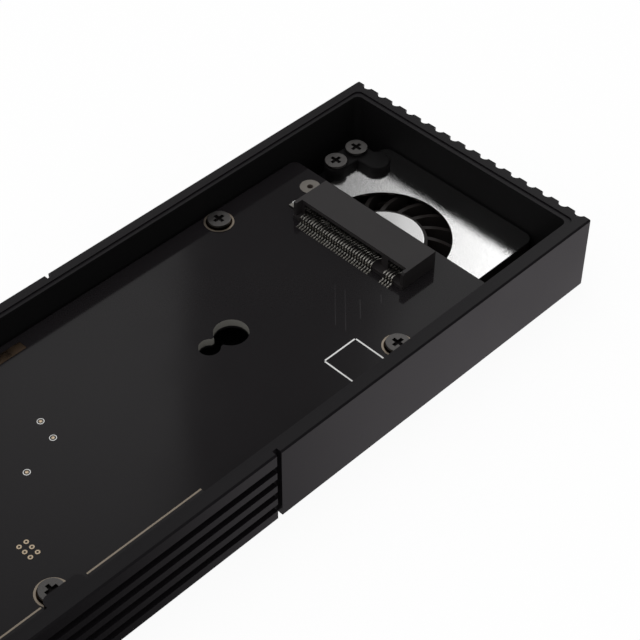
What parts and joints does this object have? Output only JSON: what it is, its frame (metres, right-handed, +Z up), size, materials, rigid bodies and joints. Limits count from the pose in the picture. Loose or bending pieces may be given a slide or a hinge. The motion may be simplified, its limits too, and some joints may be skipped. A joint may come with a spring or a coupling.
{
  "type": "nvme ssd enclosure",
  "caption": "Open metal enclosure tray for a plug-in flash drive, with its board, edge socket and a thin blower under a bright cover.",
  "frame": {"origin": "centre of the flat underside", "axes": "+X towards the fluted end, +Y across the case, +Z up out of the open top"},
  "size_m": [0.125, 0.046, 0.0124],
  "materials": {
    "case_black": "fine matt black anodising",
    "board_mask": "glossy black solder mask",
    "screw_steel": "nickel-grey",
    "socket_plastic": "matt moulded black",
    "contact_gold": "thin gold over nickel",
    "tin": "bright solder tin",
    "standoff_brass": "turned",
    "blower_plastic": "matt black",
    "cover_steel": "bright rolled sheet",
    "bracket_black": "satin black",
    "bearing_bronze": "sintered",
    "stator_steel": "laminated sheet",
    "winding_copper": "enamelled wire",
    "port_steel": "drawn",
    "chip_plastic": "matt moulded",
    "pad_silicone": "soft filled silicone",
    "ferrite": "pressed ferrite",
    "board_gold": "thin gold plating",
    "impeller_plastic": "satin black",
    "can_steel": "bright drawn"
  },
  "bodies": {
    "enclosure": {"enclosure_tray": "case_black", "main_board": "board_mask", "board_screws": "screw_steel", "bracket_screws": "screw_steel", "socket_housing": "socket_plastic", "socket_lower_contacts": "contact_gold", "socket_upper_contacts": "contact_gold", "socket_tabs": "tin", "drive_standoff": "standoff_brass", "blower_housing": "blower_plastic", "blower_cover": "cover_steel", "fan_bracket": "bracket_black", "shaft_bearing": "bearing_bronze", "stator_core": "stator_steel", "stator_windings": "winding_copper", "port_shell": "port_steel", "port_tongue": "blower_plastic", "bridge_chip": "chip_plastic", "thermal_pad": "pad_silicone", "power_inductors": "ferrite", "support_chips": "chip_plastic", "screw_rings": "board_gold", "edge_strips": "board_gold", "test_pads": "tin", "via_rings": "board_gold", "tin_pad": "tin"},
    "rotor": {"impeller": "impeller_plastic", "rotor_can": "can_steel", "rotor_magnet": "ferrite", "rotor_shaft": "stator_steel"}
  },
  "joints": [
    {"name": "impeller_spin", "type": "hinge", "parent": "enclosure", "child": "rotor", "pos_m": [0.0441, 0, 0.004], "axis": [0, 0, 1], "continuous": true}
  ]
}
